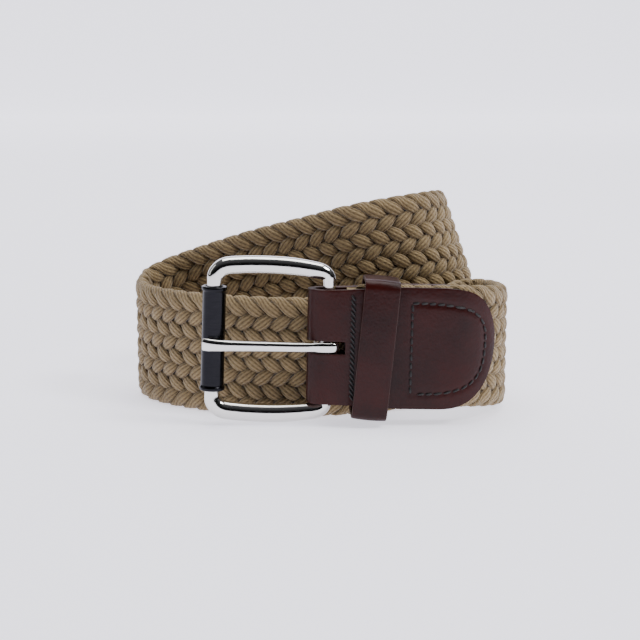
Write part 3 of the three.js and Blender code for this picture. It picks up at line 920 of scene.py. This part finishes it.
def keeper_places():
    """The band's middle sheet, a little swollen in its middle and on its long faces."""
    depth = tab_outer + KEEPER_PLAY + KEEPER_THICKNESS / 2
    lean = KEEPER_WIDTH / 2 * math.sin(math.radians(KEEPER_TILT))
    height = (WEBBING_WIDTH + KEEPER_THICKNESS) / 2 + KEEPER_SAG + lean + KEEPER_LOOSE
    outline = keeper_outline(depth, height, KEEPER_CORNER + KEEPER_THICKNESS / 2, 0.55)
    flat = 1 - (outline[:, 1] / height) ** 2
    bulge = 0.55 * np.clip(flat, 0, 1) * np.sign(outline[:, 0])
    half = KEEPER_WIDTH / 2
    rows = []
    for x in np.linspace(-half, half, 15):
        crown = 0.22 * (1 - (x / half) ** 2)
        y = outline[:, 0] * (1 + crown / depth) + bulge
        z = outline[:, 1] * (1 + crown / height)
        rows.append(np.stack([np.full(len(y), x), y, z], axis=1))
    return on_keeper(np.array(rows))


keeper = grid_piece("keeper_band", keeper_places(), wrap_cols=True)
thicken(keeper, KEEPER_THICKNESS, THIN_ROUNDING)
finish_piece(keeper, "keeper", "belt_leather", ["keeper_loop"], leather, edge_leather)


# ---- the buckle ----

nickel = polished_nickel()
roller_nickel = dark_nickel()
ARM_HALF = BUCKLE_HEIGHT / 2 - ARM_HEIGHT / 2
FRONT_HALF = ROLLER_LENGTH / 2 + RUN
HEEL_HALF = TAB_HEEL_WIDTH / 2 + FRAME_RIDE + 6 * RUN


def frame_ring():
    """The frame's middle line, once round, with the section's height and depth."""
    shoulder = (ARM_HALF + FRONT_HALF) / 2
    thin = HEEL_BAR_DIAMETER
    front = FRONT_BAR_DIAMETER
    upper = [
        [0, 8, thin, thin],
        [0, HEEL_HALF - 2.6, thin, thin],
        [-BUCKLE_LENGTH * 0.012, HEEL_HALF - 0.7, 4.0, 3.9],
        [-BUCKLE_LENGTH * 0.06, ARM_HALF * 0.935, 4.5, 4.3],
        [-BUCKLE_LENGTH * 0.16, ARM_HALF * 0.962, 4.9, 4.6],
        [-BUCKLE_LENGTH * 0.32, ARM_HALF * 0.988, ARM_HEIGHT, ARM_DEPTH],
        [-BUCKLE_LENGTH * 0.5, ARM_HALF, ARM_HEIGHT, ARM_DEPTH],
        [-BUCKLE_LENGTH * 0.77, ARM_HALF * 0.99, ARM_HEIGHT, ARM_DEPTH],
        [-BUCKLE_LENGTH * 0.92, ARM_HALF * 0.955, ARM_HEIGHT, ARM_DEPTH],
        [-BUCKLE_LENGTH * 0.985, shoulder, 4.9, 4.6],
        [-BUCKLE_LENGTH, FRONT_HALF, front, front],
        [-BUCKLE_LENGTH, 6, front, front],
    ]
    lower = [[x, -z, height, depth] for x, z, height, depth in upper[::-1]]
    ring = np.array(upper + lower)
    wrapped = np.vstack([ring[-3:], ring, ring[:4]])
    places, _ = through_points(wrapped[:, [0, 1]] @ [[1, 0, 0], [0, 0, 1]], SWEEP_STEPS)
    index = np.arange(len(places)) / SWEEP_STEPS
    sizes = [np.interp(index, np.arange(len(wrapped)), wrapped[:, i]) for i in (2, 3)]
    first = 3 * SWEEP_STEPS
    once = slice(first, first + SWEEP_STEPS * len(ring) + 1)
    return places[once], sizes[0][once], sizes[1][once]


def closed_sweep(path, plane, widths, depths, sides, power):
    """Rings round a closed path whose first place is repeated at its end."""
    longer = np.vstack([path[-2], path, path[1]])
    grow = [np.concatenate([[v[-2]], v, [v[1]]]) for v in (widths, depths)]
    rings = swept(longer, plane, grow[0], grow[1], sides, power)[1:-1]
    rings[-1] = rings[0]
    return rings


ring_line, ring_heights, ring_depths = frame_ring()
rings = closed_sweep(ring_line, np.array([0.0, 1, 0]), ring_depths, ring_heights, 24, 2.15)
buckle = grid_piece("buckle_ring", on_frame(rings), wrap_cols=True, wrap_rows=True)
finish_piece(buckle, "frame", "buckle_metal", ["buckle_frame"], nickel)


def roller_tube():
    """A rolled tube with a raised bead at each end."""
    bore = FRONT_BAR_DIAMETER / 2 + RUN
    rim = ROLLER_DIAMETER / 2
    end = ROLLER_LENGTH / 2
    upper = [
        [bore, 0],
        [bore, end - 0.25],
        [bore + 0.25, end],
        [rim - 0.35, end],
        [rim - 0.1, end - 0.12],
        [rim, end - 0.4],
        [rim, end - 0.9],
        [rim - 0.1, end - 1.15],
        [rim - 0.28, end - 1.3],
        [rim - 0.3, end - 1.6],
        [rim - 0.3, 0],
    ]
    lower = [[x, -z] for x, z in upper[::-1][1:]]
    outline = np.array(upper + lower)
    angles = np.linspace(0, 2 * math.pi, 65)
    x = outline[None, :, 0] * np.cos(angles)[:, None]
    y = outline[None, :, 0] * np.sin(angles)[:, None]
    z = np.broadcast_to(outline[None, :, 1], x.shape)
    return np.stack([x, y, z], axis=-1)


tube = local(roller_tube(), FRONT, FRAME_X, STRAP_Y, FRAME_Z)
roller = grid_piece("roller_tube", tube, wrap_cols=True, wrap_rows=True)
finish_piece(roller, "roller", "roller_metal", ["buckle_roller"], roller_nickel)


def prong_line():
    """Round the heel bar from its back, then out to the roller: x, y, width, depth."""
    radius = HEEL_BAR_DIAMETER / 2 + RUN + RING_WALL / 2
    rest = -(ROLLER_DIAMETER / 2 + GAP)
    line = []
    for angle in np.radians(np.linspace(165, -80, 14)):
        x = radius * np.cos(angle)
        y = radius * np.sin(angle)
        if angle < 0:
            x = radius * 1.08 * np.cos(angle) ** 0.6
            y = radius * -1.24 * np.sin(-angle) ** 0.8
        line.append([x, y, PRONG_WIDTH, RING_WALL])
    middle = rest - PRONG_THICKNESS / 2
    line += [
        [-1.6, -3.9, PRONG_WIDTH, 1.6],
        [-3.4, -3.85, PRONG_WIDTH * 0.92, 1.7],
        [-5.4, -4.1, PRONG_WIDTH * 0.92, 2.2],
        [-BUCKLE_LENGTH * 0.3, -4.35, PRONG_WIDTH * 0.92, 2.4],
        [-BUCKLE_LENGTH * 0.6, -4.75, PRONG_WIDTH * 0.96, 2.5],
        [-BUCKLE_LENGTH * 0.84, middle, PRONG_WIDTH * 1.04, PRONG_THICKNESS],
        [-BUCKLE_LENGTH + 1.8, middle, PRONG_TIP_WIDTH * 0.94, PRONG_THICKNESS],
        [-BUCKLE_LENGTH - 0.8, middle + 0.28, PRONG_TIP_WIDTH, PRONG_THICKNESS * 0.8],
        [-BUCKLE_LENGTH - PRONG_OVERHANG + 0.3, middle + 0.75, PRONG_TIP_WIDTH * 0.97, 1.15],
        [-BUCKLE_LENGTH - PRONG_OVERHANG, middle + 0.85, PRONG_TIP_WIDTH * 0.86, 0.85],
    ]
    line = np.array(line)
    places, _ = through_points(line[:, [0, 1]] @ [[1, 0, 0], [0, 1, 0]], PRONG_STEPS)
    index = np.arange(len(places)) / PRONG_STEPS
    sizes = [np.interp(index, np.arange(len(line)), line[:, i]) for i in (2, 3)]
    return places, sizes[0], sizes[1]


prong_path, prong_widths, prong_depths = prong_line()
bands = swept(prong_path, np.array([0.0, 0, 1]), prong_widths, prong_depths, 20, 3.0)
prong = grid_piece("prong_bar", on_prong(bands), wrap_cols=True, capped=True)
finish_piece(prong, "prong", "buckle_metal", ["buckle_prong"], nickel)


# ---- pieces kept as they are ----

tape = cotton_tape()
kept = {"heel_end_binding": tape, "tip_end_binding": tape, "keeper_staple": roller_nickel}
for node, finish in kept.items():
    shown = frame["nodes"][node]
    shown.data.materials.clear()
    shown.data.materials.append(finish)
    rounding = shown.modifiers.new("edge", "BEVEL")
    rounding.width = KEPT_ROUNDING * MM
    rounding.segments = 2


# ---- floor, lights, camera ----


def paper_sweep():
    """A sheet that lies flat and curves up far behind the belt."""
    turn = np.radians(np.linspace(0, 90, 24))
    flat = np.linspace(-2.5, 2.2, 30)
    y = np.concatenate([flat, 2.2 + 0.8 * np.sin(turn), [3.0, 3.0]])
    z = np.concatenate([np.zeros(30), 0.8 * (1 - np.cos(turn)), [1.6, 3.5]])
    rows = []
    for x in np.linspace(-3, 3, 9):
        rows.append(np.stack([np.full(len(y), x), y, z], axis=1))
    return np.array(rows)


paper = grid_piece("paper_sweep", paper_sweep())
paper.data.materials.append(matte_paper())


def area_light(name, place, target, width, height, power):
    light = bpy.data.lights.new(name, "AREA")
    light.shape = "RECTANGLE"
    light.size = width
    light.size_y = height
    light.energy = power
    lamp = bpy.data.objects.new(name, light)
    lamp.location = place
    way = Vector(target) - Vector(place)
    lamp.rotation_euler = way.to_track_quat("-Z", "Y").to_euler()
    into_scene(lamp)


area_light("key_softbox", (0.75, -0.3, 0.9), (0, 0, 0.02), 0.35, 0.35, 9)
area_light("left_softbox", (-1.0, 0.0, 0.45), (0, 0, 0.02), 0.4, 0.7, 1)
area_light("top_softbox", (0, 0.1, 1.3), (0, 0, 0), 1.2, 0.8, 16)


def studio_world():
    """Pale above and behind, darker in front and low down, so that metal shows contrast."""
    world = bpy.data.worlds.new("studio")
    world.use_nodes = True
    tree = world.node_tree
    tree.nodes.clear()
    way = add(tree, "ShaderNodeTexCoord").outputs["Generated"]
    parts = add(tree, "ShaderNodeSeparateXYZ", {0: way}).outputs
    height = maths(tree, "MULTIPLY_ADD", parts[2], 0.9, 0.1)
    back = maths(tree, "MULTIPLY", parts[1], 0.4)
    tone = add(tree, "ShaderNodeClamp", {0: maths(tree, "ADD", height, back)}).outputs[0]
    color = blend_colors(tree, tone, linear("#0C0C0F"), linear("#D8D8E0"))
    background = add(tree, "ShaderNodeBackground", {"Color": color, "Strength": 0.2})
    add(tree, "ShaderNodeOutputWorld", {"Surface": background.outputs[0]})
    bpy.context.scene.world = world


studio_world()

lens = bpy.data.cameras.new("camera")
lens.sensor_width = 36
lens.lens = CAMERA_LENS
lens.clip_end = 20
camera = into_scene(bpy.data.objects.new("camera", lens))
camera.location = (np.array(CAMERA_AT) + SHIFT) * MM
camera.rotation_euler = (math.radians(90 - CAMERA_DIP), 0, 0)
bpy.context.scene.camera = camera
